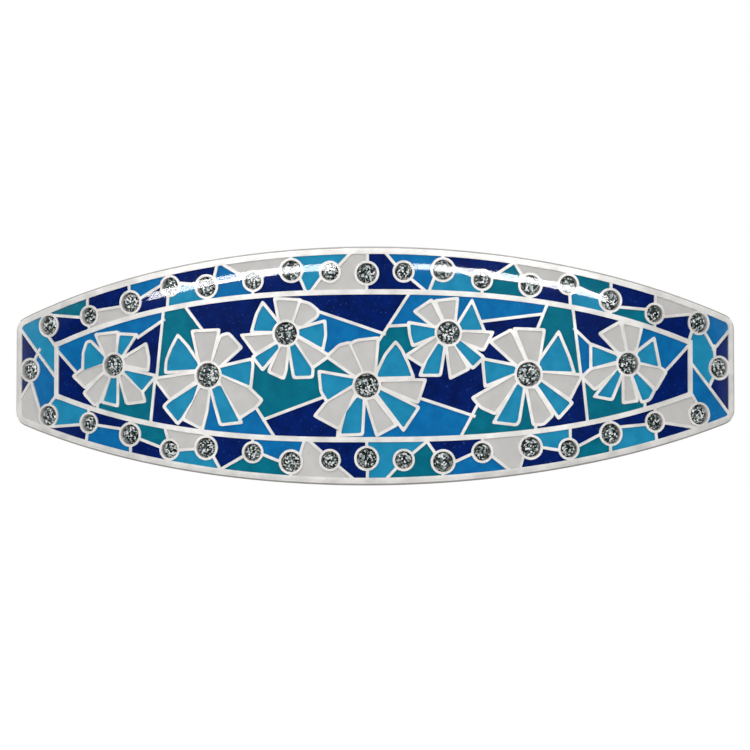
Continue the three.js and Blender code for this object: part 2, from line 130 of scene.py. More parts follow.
# Flower centres, left to right: share of the half length, share of the field's half height, radius
FLOWERS = [
    (-0.687, 0.05, 1.42),
    (-0.418, -0.111, 1.6),
    (-0.21, 0.444, 1.5),
    (0, -0.268, 1.58),
    (0.21, 0.444, 1.5),
    (0.418, -0.111, 1.6),
    (0.687, 0.05, 1.42),
]
stones = []
left_to_right = [(-share, inset, radius) for share, inset, radius in COLUMNS[:0:-1]] + COLUMNS
for row, side in (("top", 1), ("bottom", -1)):
    for i, (share, inset, radius) in enumerate(left_to_right):
        s = share * HALF_LENGTH
        z = side * (edge_height(s) - inset)
        stones.append((f"crystal_{row}_{i + 1:02d}", s, z, radius))
stones.append(("crystal_end_left", -50.0, 0.15, LARGE_STONE))
stones.append(("crystal_end_right", 50.0, 0.15, LARGE_STONE))
for i, (share, rise, radius) in enumerate(FLOWERS):
    stones.append((f"flower_crystal_{i + 1}", share * HALF_LENGTH, rise * FRAME_HALF, radius))


def select_only(*pieces):
    bpy.ops.object.select_all(action="DESELECT")
    for piece in pieces:
        piece.select_set(True)
    bpy.context.view_layer.objects.active = pieces[0]


def prism(name, corners, pull):
    """A flat face with these corners, pulled straight into a solid."""
    bpy.ops.object.select_all(action="DESELECT")
    bpy.ops.mesh.primitive_circle_add(vertices=len(corners), fill_type="NGON")
    piece = bpy.context.object
    piece.name = name
    for vertex, corner in zip(piece.data.vertices, corners):
        vertex.co = corner
    bpy.ops.object.mode_set(mode="EDIT")
    bpy.ops.mesh.select_all(action="SELECT")
    bpy.ops.mesh.extrude_region_move(TRANSFORM_OT_translate={"value": pull})
    bpy.ops.mesh.select_all(action="SELECT")
    bpy.ops.mesh.normals_make_consistent(inside=False)
    bpy.ops.object.mode_set(mode="OBJECT")
    return piece


def slab(name, outline, low, high):
    """A flat slab with this outline, between two heights over the floor of the cells."""
    return prism(name, [(s, -low, z) for s, z in outline], (0, low - high, 0))


def soften(piece, width, segments=2):
    """Rounds the sharp edges of a piece."""
    modifier = piece.modifiers.new("soften", "BEVEL")
    modifier.width = width
    modifier.segments = segments
    modifier.limit_method = "ANGLE"
    modifier.angle_limit = math.radians(50)
    select_only(piece)
    bpy.ops.object.modifier_apply(modifier=modifier.name)
    return piece


def ring(s, z, radius, sides=40):
    """A round outline."""
    turns = [2 * math.pi * k / sides for k in range(sides)]
    return [(s + radius * math.cos(a), z + radius * math.sin(a)) for a in turns]


def carve(piece, tools, operation="DIFFERENCE"):
    """Takes the tools out of a piece, or adds them to it, and clears them away."""
    shelf = bpy.data.collections.new("tools")
    for tool in tools:
        shelf.objects.link(tool)
    modifier = piece.modifiers.new("carve", "BOOLEAN")
    modifier.operation = operation
    modifier.solver = "EXACT"
    modifier.operand_type = "COLLECTION"
    modifier.collection = shelf
    select_only(piece)
    bpy.ops.object.modifier_apply(modifier=modifier.name)
    bpy.data.collections.remove(shelf)
    for tool in tools:
        bpy.data.objects.remove(tool)
    return piece


def wall(start, end, longer=0.5, width=WALL_W):
    """A straight cell wall between two points, run a little way into what it meets."""
    a = Vector(start) + LAY
    b = Vector(end) + LAY
    along = (b - a).normalized()
    across = Vector((-along.y, along.x)) * width / 2
    a -= along * longer
    b += along * longer
    corners = [a - across, b - across, b + across, a + across]
    return slab("wall", [tuple(c) for c in corners], -0.5, 3.0)


def moved_out(points, distance):
    """An outline with each side moved out by a distance."""
    after = points[1:] + points[:1]
    before = points[-1:] + points[:-1]
    area = sum(a[0] * b[1] - b[0] * a[1] for a, b in zip(points, after))
    turn = 1 if area > 0 else -1
    moved = []
    for last, here, following in zip(before, points, after):
        arrive = (Vector(here) - Vector(last)).normalized()
        leave = (Vector(following) - Vector(here)).normalized()
        outward = Vector((arrive.y, -arrive.x)) * turn
        middle = (outward + Vector((leave.y, -leave.x)) * turn).normalized()
        moved.append(tuple(Vector(here) + middle * distance / max(middle.dot(outward), 0.5)))
    return moved


def rounded(points, radius=0.22):
    """An outline with its corners rounded."""
    result = []
    after = points[1:] + points[:1]
    before = points[-1:] + points[:-1]
    for last, here, following in zip(before, points, after):
        here = Vector(here)
        to_last = Vector(last) - here
        to_next = Vector(following) - here
        start = here + to_last.normalized() * min(radius, to_last.length * 0.4)
        end = here + to_next.normalized() * min(radius, to_next.length * 0.4)
        for t in (0, 0.5, 1):
            result.append(tuple(start * (1 - t) ** 2 + here * 2 * t * (1 - t) + end * t * t))
    return result


# ---- Mosaic: the walls between the enamel cells, and what colour fills each ----
# The cells are poured enamel. Walls run from cup to cup, to the rim and to the frame line, listed one by one.

LAY = Vector((0.2, -0.15))  # the drawing's middle, from the plate's
CELL_TOP = 1.6  # cell tools stand above the walls
SLIVER = 0.12  # a cell narrower than this is left as wall
CUP_FIT = 0.05  # round a stone
PETAL_REACH = 0.35  # by which inner corners are drawn in to the cup
PETAL_NEAR = 1.3  # how far from a cup's stone a corner counts as an inner one
PETAL_SHRINK = 0.05
PETAL_CORNER = 0.22
PETAL_WALL = 0.36
PETAL_WALL_CORNER = 0.4

BORDER_WALLS = [
    ((-51.8, 5.9), (-46.2, -0.3)),
    ((-46.9, 4.75), (-46.05, 3.75)),
    ((-45.6, 7.7), (-41.8, 7.35)),
    ((-40.5, 8.6), (-40.5, 10.3)),
    ((-38.9, 8.2), (-35.3, 8.6)),
    ((-33.9, 10.3), (-33.9, 12.0)),
    ((-32.0, 9.75), (-29.25, 11.25)),
    ((-28.0, 9.9), (-28.1, 8.25)),
    ((-26.4, 11.6), (-24.25, 11.4)),
    ((-21.25, 12.5), (-20.9, 13.8)),
    ((-19.6, 13.7), (-17.4, 12.4)),
    ((-20.9, 11.5), (-17.1, 12.1)),
    ((-14.4, 12.4), (-12.0, 13.0)),
    ((-9.25, 11.9), (-8.6, 10.4)),
    ((-6.4, 12.0), (-7.6, 10.4)),
    ((-3.6, 14.0), (-2.4, 15.25)),
    ((-0.1, 14.0), (-0.1, 15.5)),
    ((2.5, 15.1), (3.75, 13.6)),
    ((6.0, 11.6), (7.6, 10.25)),
    ((8.9, 11.9), (8.25, 10.25)),
    ((11.6, 13.25), (14.25, 12.1)),
    ((17.0, 12.25), (19.4, 13.8)),
    ((19.9, 13.9), (20.75, 12.5)),
    ((17.1, 12.0), (20.5, 11.6)),
    ((23.8, 11.2), (26.1, 11.4)),
    ((27.5, 9.75), (27.6, 8.25)),
    ((29.0, 10.75), (31.6, 9.6)),
    ((33.4, 10.4), (33.4, 12.0)),
    ((35.0, 8.25), (38.2, 8.05)),
    ((39.9, 8.9), (40.0, 10.3)),
    ((41.1, 7.1), (44.9, 7.5)),
    ((45.4, 5.0), (44.9, 3.6)),
    ((47.5, 5.1), (48.9, 3.0)),
    ((49.0, 3.0), (49.1, 1.9)),
    ((51.25, 5.25), (49.1, 3.0)),
    ((45.5, 0.7), (51.3, -5.9)),
    ((48.9, -0.9), (48.4, -1.9)),
    ((45.5, -3.5), (46.0, -4.25)),
    ((-48.7, 2.8), (-49.5, 1.5)),
    ((-49.9, -1.5), (-48.6, -4.9)),
    ((-50.4, -1.7), (-51.9, -3.6)),
    ((-45.9, -3.6), (-46.5, -4.25)),
    ((-45.9, -7.6), (-41.75, -7.4)),
    ((-40.4, -8.5), (-40.7, -10.3)),
    ((-38.9, -7.5), (-35.5, -8.0)),
    ((-33.6, -10.3), (-33.6, -12.0)),
    ((-32.1, -9.5), (-29.1, -10.6)),
    ((-28.4, -8.0), (-28.0, -9.4)),
    ((-26.1, -11.0), (-24.1, -10.9)),
    ((-21.3, -12.0), (-20.3, -13.7)),
    ((-20.0, -13.5), (-17.25, -12.0)),
    ((-14.25, -11.75), (-12.1, -12.6)),
    ((-8.75, -10.1), (-9.1, -11.25)),
    ((-7.75, -10.1), (-6.25, -11.4)),
    ((-3.9, -13.4), (-1.75, -15.2)),
    ((-0.1, -13.9), (-0.1, -15.5)),
    ((7.6, -10.25), (6.1, -11.5)),
    ((3.75, -13.6), (2.25, -15.2)),
    ((8.1, -10.25), (8.9, -11.4)),
    ((11.9, -12.6), (14.1, -11.6)),
    ((16.75, -12.0), (19.25, -13.9)),
    ((20.9, -12.25), (20.4, -13.9)),
    ((23.5, -10.75), (25.9, -11.1)),
    ((27.5, -8.0), (27.5, -9.75)),
    ((28.75, -10.5), (31.5, -9.1)),
    ((33.25, -10.6), (33.25, -12.0)),
    ((34.9, -7.9), (38.0, -7.6)),
    ((39.9, -8.5), (40.1, -10.3)),
    ((41.1, -7.3), (45.75, -7.9)),
]
FIELD_WALLS = [
    ((-45.6, 3.0), (-42.2, -0.3)),
    ((-38.8, -4.7), (-38.8, -5.7)),
    ((-32.25, 4.5), (-28.9, 6.5)),
    ((-29.9, -1.25), (-30.5, -6.9)),
    ((-28.7, 7.7), (-29.6, -0.7)),
    ((-25.1, 7.9), (-22.9, 5.1)),
    ((-22.9, -8.0), (-22.8, -8.9)),
    ((-15.3, -5.4), (-12.8, -9.3)),
    ((-14.0, -6.9), (-6.2, -4.1)),
    ((-6.9, 7.5), (1.9, 4.5)),
    ((-4.1, -9.0), (-4.2, -10.0)),
    ((5.4, 9.6), (1.5, 3.6)),
    ((3.0, 5.45), (5.6, 5.6)),
    ((7.1, -4.25), (14.0, -6.5)),
    ((14.75, -5.1), (12.6, -9.1)),
    ((15.4, 6.1), (23.2, 7.1)),
    ((24.1, 7.9), (23.0, 5.25)),
    ((22.7, -7.6), (22.7, -9.0)),
    ((28.0, 7.4), (29.0, -0.7)),
    ((28.4, 5.0), (30.5, 3.1)),
    ((29.4, -2.0), (29.9, -6.7)),
    ((38.3, -4.4), (38.3, -5.8)),
    ((44.6, 2.9), (41.6, -0.1)),
]
# Petals, flower by flower from the left and turning clockwise. The flowers have eight or nine petals each.
PETALS = {
    "sky": [
        [(-41.1, 0), (-41, 2.5), (-40.5, 3.75), (-40, 3.9), (-38, 2.1), (-38, 1)],
        [(-35.4, 4.75), (-33, 4.6), (-34.75, 2.1), (-35.6, 2.4)],
        [(-34, -0.2), (-30, -1), (-31.9, -3), (-34.5, -0.4)],
        [(-37.9, -4.25), (-35.75, -4.75), (-35.6, -1.25), (-36.75, -1.25)],
        [(-26.5, 4.3), (-27.4, 2.75), (-28.1, 1), (-28.2, -0.35), (-23.9, 0), (-23.75, 0.9), (-25.25, 3)],
        [(-20.3, 0.2), (-16, 1), (-15.9, 0.4), (-16.2, -2.5), (-20.2, -0.7)],
        [(-21.6, -2.9), (-20, -2.5), (-17.6, -7.25), (-20.25, -7.5), (-21, -5)],
        [(-28.4, -5.1), (-27.6, -4.4), (-23.75, -2.25), (-24.25, -4.25), (-26, -6.75), (-26.5, -7.25)],
        [(-14.4, 8.5), (-15.2, 7), (-15.8, 4.9), (-12.6, 4.9), (-12.3, 6)],
        [(-9.5, 5.1), (-6, 6), (-5.9, 4.25), (-6.25, 2.5), (-9.5, 4.5)],
        [(-10.6, 2.6), (-9.7, 3), (-7.6, -0.2), (-7.7, -1.2), (-10, -1.25)],
        [(-12.6, 3), (-15.6, 1.4), (-14.4, -0.1), (-12.25, 2.25)],
        [(3.7, 3.1), (2.4, 1.5), (1.5, -0.6), (1.5, -1.2), (5.9, -1.3), (5.3, 0.3), (4.4, 2.2)],
        [(1.1, -3.25), (1.75, -3), (6.6, -5.5), (4.75, -8.25)],
        [(-1.75, -4.25), (-0.75, -4.4), (-0.9, -8.9), (-3.75, -9), (-3, -6)],
        [(-6.5, -0.75), (-2.1, -1.4), (-2.25, -2.25), (-5.5, -4.5), (-6.25, -3.25)],
        [(5.6, 5.75), (9, 5.25), (9.1, 4.25), (6.1, 3), (5.75, 4.25)],
        [(14, 8.6), (12.4, 5.75), (12.5, 5), (15.5, 4.9)],
        [(12, 3.1), (12.75, 3.4), (15.4, 1.25), (14.1, 0), (11.9, 2.5)],
        [(9.2, 3), (10.1, 2.4), (9.6, -1), (7.2, -1), (7.9, 0.8)],
        [(25.9, 4.5), (23.4, 0.9), (23.6, -0.4), (27.9, -0.6), (27.3, 1.3)],
        [(23, -2.5), (23.6, -1.9), (27.6, -4.75), (25.9, -6.6)],
        [(17.2, -7.3), (19.9, -2.4), (20.9, -2.9), (20.3, -7.2), (20, -7.6)],
        [(15.6, 0.9), (19.6, 0.3), (19.9, -0.6), (15.9, -2.4)],
        [(30.6, 3), (34, 1.9), (34, 1.1), (30.6, 0)],
        [(39.6, 3.9), (37.4, 2.4), (37.5, 1), (40.4, 0.25)],
        [(36.5, -1), (37.1, -0.6), (39.6, -2.9), (38.9, -4.1), (37.9, -4.4)],
        [(31.25, -3.75), (33.4, -4.1), (34.75, -0.75), (34, -0.25)],
    ],
    "grey": [
        [(-38.9, 4.75), (-35.75, 5), (-35.9, 2.4), (-37.75, 2.25)],
        [(-34.5, 1.6), (-31.4, 3.25), (-31, 1.5), (-31.1, 0), (-34.6, 0.8)],
        [(-35.1, -1), (-34.1, -4.5), (-31.6, -4.25), (-32, -3), (-34.6, -0.8)],
        [(-40.8, -3.1), (-39.25, -4.6), (-38.5, -4.25), (-37.1, -1.4), (-38.1, -0.7)],
        [(-42.5, -0.75), (-40.75, -2.2), (-38.1, -0.3), (-38.3, 0.8), (-41.2, 0.1)],
        [(-24.25, 4.9), (-20.75, 5), (-21.75, 0.75), (-23.5, 0.9)],
        [(-20.25, 4.25), (-19.25, 4.5), (-17.6, 2.75), (-20.5, 0.25), (-21.5, 1)],
        [(-20.3, -0.9), (-16.5, -2.7), (-14.7, -4.4), (-15.5, -5.3), (-17.6, -6.6), (-20, -2.4)],
        [(-25.6, -6.75), (-23.5, -2.9), (-22, -3), (-22.4, -5.75), (-23, -8)],
        [(-29.75, -1.4), (-24.25, -0.6), (-24, -1.6), (-27.6, -4)],
        [(-12.6, 9.1), (-9.4, 8.9), (-10.4, 5.9), (-12.1, 5.9)],
        [(-9.2, 8.75), (-8, 8.4), (-6.9, 7.5), (-7, 6.9), (-8.75, 5.6), (-10.0, 5.9)],
        [(-9.4, 3.9), (-5.5, 1.5), (-7.5, 0.1), (-9.6, 3.4)],
        [(-12, 2.6), (-10.9, 2.5), (-11.3, -0.3), (-11.6, -1.3), (-13.4, -0.5)],
        [(-12.9, 4.5), (-17.1, 4.25), (-15.4, 2), (-12.75, 3.4)],
        [(-5.4, 1.4), (-3.8, 2.8), (-2.6, 3.1), (-0.8, -0.7), (-1.9, -1)],
        [(-2.3, 3), (-1.5, 3.4), (1.2, 3.7), (1, -0.8), (-0.4, -0.9)],
        [(1.9, -1.9), (7.5, -1.9), (6.6, -4.6), (1.9, -2.6)],
        [(-0.3, -4.4), (1, -4.5), (3.6, -7.75), (1.25, -9)],
        [(-5.4, -4.6), (-2.5, -2.9), (-2.1, -3.6), (-4, -8.1), (-7, -6.5)],
        [(6.5, 7.4), (8.5, 8.75), (9.9, 6), (8.6, 5.6)],
        [(9.25, 8.7), (11.9, 9), (11.75, 6.25), (10.3, 6.25)],
        [(12.6, 4.75), (16.6, 4.5), (15.5, 2.4), (12.5, 3.4)],
        [(10.6, 2.6), (11.7, 2.6), (13.4, -0.2), (11.2, -1.3)],
        [(5.4, 1.5), (9, 4), (9.1, 3.25), (7.4, 0.25)],
        [(16.7, 3.4), (19.3, 4.8), (21.2, 1.1), (20, 0.4)],
        [(20, 5), (23.75, 4.9), (23.25, 1), (21.75, 1)],
        [(23.5, -0.6), (29, -1.1), (27.4, -4.1), (23.6, -1.5)],
        [(21.5, -3.1), (22.75, -3.1), (24.9, -6.4), (23.75, -7.5), (22.5, -7.6)],
        [(14.3, -4.2), (19.5, -1), (20, -1.8), (17.1, -6.1), (15.3, -5.3)],
        [(32, 4.6), (34.6, 6.05), (35.4, 2.5), (34.25, 2.4)],
        [(35.1, 6.05), (37.7, 5.5), (37, 2.6), (35.9, 2.5)],
        [(37.2, 0.6), (40.4, 0.1), (41.3, -0.4), (39.9, -2.6), (37.3, -0.4)],
        [(35.1, -1), (36.1, -1), (37, -4.25), (35.25, -4.5)],
        [(29.4, -1.25), (30.5, -0.25), (34, 0.5), (34.1, -0.1), (31, -2.75)],
    ],
}
# A point in each cell, by colour. A cell with none takes the colour of the nearest point.
BORDER_FILLS = {
    "navy": [
        (-50.8, 3.0), (-51.3, -1.9), (-43.5, 6.1), (-37, 9.3), (-30, 9.4), (-25.5, 12.4), (-13, 11.2),
        (2.2, 12.8), (13, 13.9), (25.5, 9.7), (36.7, 9.2), (43, 5.8), (50.7, 3.2), (50.3, -3.0),
        (-43.6, -8.4), (-37, -7.0), (-31, -11.1), (-19.2, -11.3), (-2.5, -12.5), (12.5, -11.0),
        (24, -12.3), (30, -8.6), (36.5, -7.0), (43.5, -8.3),
    ],
    "blue": [
        (-47.8, -1.5), (-31.5, 11.3), (-20.2, 12.6), (-19, 10.6), (7.3, 13.2), (49.6, 5.2), (47.2, -3.2),
        (-37, -9.3), (-12.5, -11.0), (13, -13.6),
    ],
    "sky": [
        (-48.2, 3.6), (-25, 9.8), (-7.6, 12.2), (12.8, 11.2), (30.2, 8.6), (47.2, 2.6),
        (-43.6, -6.2), (-25, -12.2), (2.5, -12.5), (25.3, -9.6), (36.8, -9.3),
    ],
    "teal": [
        (-43.7, 8.3), (18.9, 12.6), (18.8, 10.7), (31.3, 10.9), (36.8, 7.0),
        (-30.3, -8.7), (-15.6, -13.7), (7.6, -13.0), (31.2, -11.0),
    ],
    "grey": [
        (-37, 7.4), (-17, 13.6), (-2.6, 11.6), (22.5, 13.0), (24.8, 12.4), (43, 8.2),
        (-50.5, -4.5), (-25.5, -9.8), (-7.6, -13.0), (19, -12.0), (43.5, -6.2),
    ],
}
FIELD_FILLS = {
    "navy": [
        (-42.5, -2.5), (-30.2, 3.0), (-29.3, -5), (-27.5, -7.3), (-18, 6.5), (-12.0, 9.35), (-4, 8), (0, 7.5),
        (-9, -7.3), (17, 5.2), (22, 6.1), (10, -3), (7.5, -3), (27.2, -6.8), (30.3, 5.2), (42.5, -2.5),
    ],
    "blue": [
        (-42.5, 2.5), (-37, 5.6), (-22.1, -6.8), (-18, -8.3), (-3, 5.0), (-7.7, 4.6), (5.3, 7.3), (17, 8),
        (12.8, 7.9), (9, -7.5), (0, -9.5), (29.3, 2.0), (38.9, 4.7), (41.5, 2.3),
    ],
    "sky": [],
    "teal": [
        (-33, -5.9), (-30.8, -4.5), (-27.3, 6.3), (-28.7, 1.5), (-11, -3), (-4.5, -0.1), (3.6, 4.5),
        (15, -8), (18.7, -8.3), (26.5, 6.3), (28.2, 2.5), (31.2, -5.6), (34.3, -5.2),
    ],
    "grey": [],
}


def cups(grow, low=-0.5, high=3.0):
    """One round tool for each stone, so much larger than its stone."""
    return [slab("cup", ring(s, z, radius + grow), low, high) for _, s, z, radius in stones]


FRAME_GAP = 0.6
RIM_GAP = 0.3


def cup_bridges():
    """Short walls that close the narrow gaps between a border cup and the frame line or the rim."""
    bridges = []
    for _, s, z, radius in stones[: 2 * len(left_to_right)]:
        side = math.copysign(1, z)
        cup = radius + cup_grow
        frame_edge = frame_height(s) + frame_side
        rim_edge = edge_height(s, RIM_W)
        if abs(z) - cup - frame_edge < FRAME_GAP and abs(s) < FRAME_END:
            bridges.append(((s, z - side * radius), (s, side * (frame_edge - 0.1))))
        if rim_edge - abs(z) - cup < RIM_GAP:
            bridges.append(((s, z + side * radius), (s, side * (rim_edge + 0.1))))
    return [wall(Vector(a) - LAY, Vector(b) - LAY, 0.1) for a, b in bridges]


def split_cells(area, fills):
    """Takes an area apart into its cells, and gives each its colour."""
    select_only(area)
    bpy.ops.mesh.separate(type="LOOSE")
    bpy.context.view_layer.update()
    by_colour = {colour: [] for colour in fills}
    seeds = [(Vector(p) + LAY, colour) for colour, points in fills.items() for p in points]
    for cell in list(bpy.context.selected_objects):
        corners = [Vector((v.co.x, v.co.z)) for v in cell.data.vertices]
        middle = sum(corners, Vector((0, 0))) / len(corners)
        spread = Vector((max(c.x for c in corners), max(c.y for c in corners))) - Vector(
            (min(c.x for c in corners), min(c.y for c in corners))
        )
        if min(spread) < SLIVER:
            bpy.data.objects.remove(cell)
            continue
        inside = [
            colour
            for seed, colour in seeds
            if cell.ray_cast(Vector((seed.x, -9, seed.y)), Vector((0, 1, 0)))[0]
        ]
        if not inside:
            inside = [min(seeds, key=lambda seed: (seed[0] - middle).length)[1]]
        by_colour[inside[0]].append(cell)
    return by_colour


frame_side = FRAME_W / 2
cup_grow = CUP_FIT + CUP_WALL
border_area = slab("border", plate_outline(RIM_W), 0, CELL_TOP)
border_tools = [slab("inner", frame_outline(frame_side), -0.5, 3.0)]
border_tools += [wall(a, b) for a, b in BORDER_WALLS] + cup_bridges() + cups(cup_grow)
border_cells = split_cells(carve(border_area, border_tools), BORDER_FILLS)


def petal_outline(petal):
    """A petal laid on the plate, with its inner corners drawn in to its flower's cup."""
    laid = []
    for point in petal:
        here = Vector(point) + LAY
        middle, radius = min(
            ((Vector((s, z)), r) for _, s, z, r in stones[-len(FLOWERS) :]),
            key=lambda flower: (flower[0] - here).length,
        )
        inward = middle - here
        if inward.length < radius + PETAL_NEAR:
            here += inward.normalized() * PETAL_REACH
        laid.append(tuple(here))
    return laid


field_area = slab("field", frame_outline(-frame_side), 0, CELL_TOP)
field_tools = [wall(a, b) for a, b in FIELD_WALLS] + cups(cup_grow)
for colour, petals in PETALS.items():
    for petal in petals:
        silhouette = rounded(moved_out(petal_outline(petal), PETAL_WALL), PETAL_WALL_CORNER)
        field_tools.append(slab("silhouette", silhouette, -0.5, 3.0))
field_cells = split_cells(carve(field_area, field_tools), FIELD_FILLS)

petal_cells = {}
for colour, petals in PETALS.items():
    petal_cells[colour] = []
    for i, petal in enumerate(petals):
        cell = rounded(moved_out(petal_outline(petal), -PETAL_SHRINK), PETAL_CORNER)
        petal_cells[colour].append(slab(f"petal_{i}", cell, 0, CELL_TOP))


def joined(pieces, name):
    """Several pieces made one."""
    select_only(*pieces)
    if len(pieces) > 1:
        bpy.ops.object.join()
    piece = bpy.context.object
    piece.name = name
    return piece


petals_all = {c: joined(p, f"petals_{c}") for c, p in petal_cells.items()}
for colour, petals in petals_all.items():
    carve(petals, cups(cup_grow))


def cut_across(piece, step):
    """Cuts a flat piece across its length at even stations, so that it can bend."""
    select_only(piece)
    lengths = [v.co.x for v in piece.data.vertices]
    bpy.ops.object.mode_set(mode="EDIT")
    count = math.ceil(HALF_LENGTH / step)
    for k in range(-count, count + 1):
        s = (k + 0.5) * step
        if min(lengths) < s < max(lengths):
            bpy.ops.mesh.select_all(action="SELECT")
            bpy.ops.mesh.bisect(plane_co=(s, 0, 0), plane_no=(1, 0, 0), threshold=1e-5)
    bpy.ops.object.mode_set(mode="OBJECT")


def bend(piece, low_r, along_r=BEND_R, axis_y=AXIS_Y, step=1.5):
    """Bends a flat piece round an axis: its lowest face goes to one radius, its lengths are true at another."""
    cut_across(piece, step)
    for vertex in piece.data.vertices:
        s, depth, z = vertex.co
        r = low_r - depth
        vertex.co = (r * math.sin(s / along_r), axis_y - r * math.cos(s / along_r), z)
    return piece


def finished(piece, name, body, slot, material, *nodes, smooth=30):
    """Brings a piece from millimetres to metres, and gives it its material, body and place in the frame."""
    select_only(piece)
    piece.name = name
    for vertex in piece.data.vertices:
        vertex.co *= MM
    bpy.ops.object.shade_smooth_by_angle(angle=math.radians(smooth))
    piece.data.materials.clear()
    piece.data.materials.append(material)
    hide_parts(*nodes)
    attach(piece, body)
    return piece


def linear(hex_colour):
    """An sRGB hex colour as linear red, green, blue and alpha."""
    values = [int(hex_colour[i : i + 2], 16) / 255 for i in (1, 3, 5)]
    return tuple(v / 12.92 if v <= 0.04045 else ((v + 0.055) / 1.055) ** 2.4 for v in values) + (1,)


def add(tree, kind, inputs=None, **settings):
    """A node with its settings, and a value or a link for each named input."""
    made = tree.nodes.new(kind)
    for name, value in settings.items():
        setattr(made, name, value)
    for name, value in (inputs or {}).items():
        socket = made.inputs[name]
        if isinstance(value, bpy.types.NodeSocket):
            tree.links.new(value, socket)
        else:
            socket.default_value = value
    return made


def stops(ramp, places):
    """Sets a colour ramp's stops, given as place and hex colour."""
    elements = ramp.color_ramp.elements
    while len(elements) < len(places):
        elements.new(0.5)
    for element, (place, colour) in zip(elements, places):
        element.position = place
        element.color = linear(colour)
    return ramp


def new_material(name):
    """A new material, its node tree and the Principled shader on it."""
    material = bpy.data.materials.new(name)
    material.use_nodes = True
    return material, material.node_tree, material.node_tree.nodes["Principled BSDF"]


def per(size_mm):
    """A texture's scale, in metres, for features of this size in millimetres."""
    return 1000 / size_mm


def silver(name, dark, light):
    """Silver plating on a zinc casting: satin where it was tumbled, with a fine cast grain and cloudy colour."""
    material, tree, shader = new_material(name)
    place = add(tree, "ShaderNodeTexCoord").outputs["Object"]
    clouds = add(tree, "ShaderNodeTexNoise", {"Vector": place, "Scale": per(2.5), "Detail": 4})
    tone = stops(
        add(tree, "ShaderNodeValToRGB", {"Fac": clouds.outputs["Fac"]}),
        [(0.35, dark), (0.62, light)],
    )
    grain = add(tree, "ShaderNodeTexNoise", {"Vector": place, "Scale": per(0.22), "Detail": 3})
    rough = add(
        tree,
        "ShaderNodeMapRange",
        {"Value": grain.outputs["Fac"], "From Min": 0.3, "From Max": 0.7, "To Min": 0.32, "To Max": 0.48},
    )
    bump = add(
        tree,
        "ShaderNodeBump",
        {"Height": grain.outputs["Fac"], "Strength": 0.25, "Distance": 0.00003},
    )
    shader.inputs["Metallic"].default_value = 0.25
    tree.links.new(tone.outputs["Color"], shader.inputs["Base Color"])
    tree.links.new(rough.outputs["Result"], shader.inputs["Roughness"])
    tree.links.new(bump.outputs["Normal"], shader.inputs["Normal"])
    return material


# The face is near white. The rounded outer edge is greyer: painted shade, the shadow line along the edge. The back
# is greyer too.
plating = silver("silver_plating", "#D6D4D0", "#ECEAE7")
edge_shade_and_back_plating = silver("edge_shade_and_back_silver", "#A2A09D", "#ABA9A6")

# The slab has a rounded outer edge. Its cells and wells go down to the floor.
EDGE_ROUND = 0.22
EDGE_BAND = 0.3  # a little wider than the rounded edge
plate = slab("plate", plate_outline(0), BACK_R - FLOOR_R, WALL_R - FLOOR_R)
soften(plate, EDGE_ROUND, 3)


def copy_of(piece):
    """A copy of a piece, with its own mesh."""
    twin = piece.copy()
    twin.data = piece.data.copy()
    bpy.context.collection.objects.link(twin)
    return twin


border_pieces = {c: joined(p, f"border_{c}") for c, p in border_cells.items() if p}
field_pieces = {c: joined(p, f"field_{c}") for c, p in field_cells.items() if p}
cutters = [copy_of(p) for group in (border_pieces, field_pieces, petals_all) for p in group.values()]
cutters += cups(CUP_FIT, 0)
carve(plate, cutters)
bend(plate, FLOOR_R)
finished(plate, "mosaic_plate", "plate", "silver_plate", plating, "face_plate")
plate.data.materials.append(edge_shade_and_back_plating)
# Faces on the rounded outer edge take the greyer plating as painted shade; faces on the back take it as well.
for face in plate.data.polygons:
    x, y, z = face.center / MM
    s = BEND_R * math.atan2(x, AXIS_Y - y)
    at_edge = abs(s) > HALF_LENGTH - EDGE_BAND or abs(z) > edge_height(s, EDGE_BAND)
    at_back = math.hypot(x, AXIS_Y - y) < BACK_R + 0.05
    if at_edge or at_back:
        face.material_index = 1


# ---- Enamel ----
# Each cell is filled with opaque enamel to just under its walls. It is poured resin enamel in five colours,
# with fine pearl specks in the blues and none in the grey.

ENAMEL_TOP = 0.72  # over the floor of the cells


def enamel(name, colour, shade, specks):
    """Opaque glossy enamel, slightly clouded where it was stirred, with pearl specks."""
    material, tree, shader = new_material(name)
    place = add(tree, "ShaderNodeTexCoord").outputs["Object"]
    clouds = add(tree, "ShaderNodeTexNoise", {"Vector": place, "Scale": per(1.6), "Detail": 5})
    body = stops(
        add(tree, "ShaderNodeValToRGB", {"Fac": clouds.outputs["Fac"]}),
        [(0.3, shade), (0.7, colour)],
    )
    flakes = add(tree, "ShaderNodeTexVoronoi", {"Vector": place, "Scale": per(0.16)})
    bright = add(
        tree,
        "ShaderNodeMapRange",
        {"Value": flakes.outputs["Color"], "From Min": 0.86, "From Max": 1.0, "To Max": specks},
    )
    pearl = add(tree, "ShaderNodeMix", {"Factor": bright.outputs["Result"]}, data_type="RGBA")
    tree.links.new(body.outputs["Color"], pearl.inputs[6])
    pearl.inputs[7].default_value = linear("#8FB6E8")
    tree.links.new(pearl.outputs[2], shader.inputs["Base Color"])
    shader.inputs["Roughness"].default_value = 0.35
    shader.inputs["Specular IOR Level"].default_value = 0.02  # resin lies on it, so it has little gloss
    return material


ENAMELS = {
    "navy": enamel("navy_enamel", "#001E66", "#00154E", 0.12),
    "blue": enamel("cobalt_enamel", "#0C6EA8", "#085E98", 0.1),
    "sky": enamel("sky_enamel", "#248AB0", "#1A7CA2", 0.06),
    "teal": enamel("teal_enamel", "#046E84", "#036076", 0.06),
    "grey": enamel("warm_grey_enamel", "#C1C0BE", "#B8B7B5", 0.0),
}


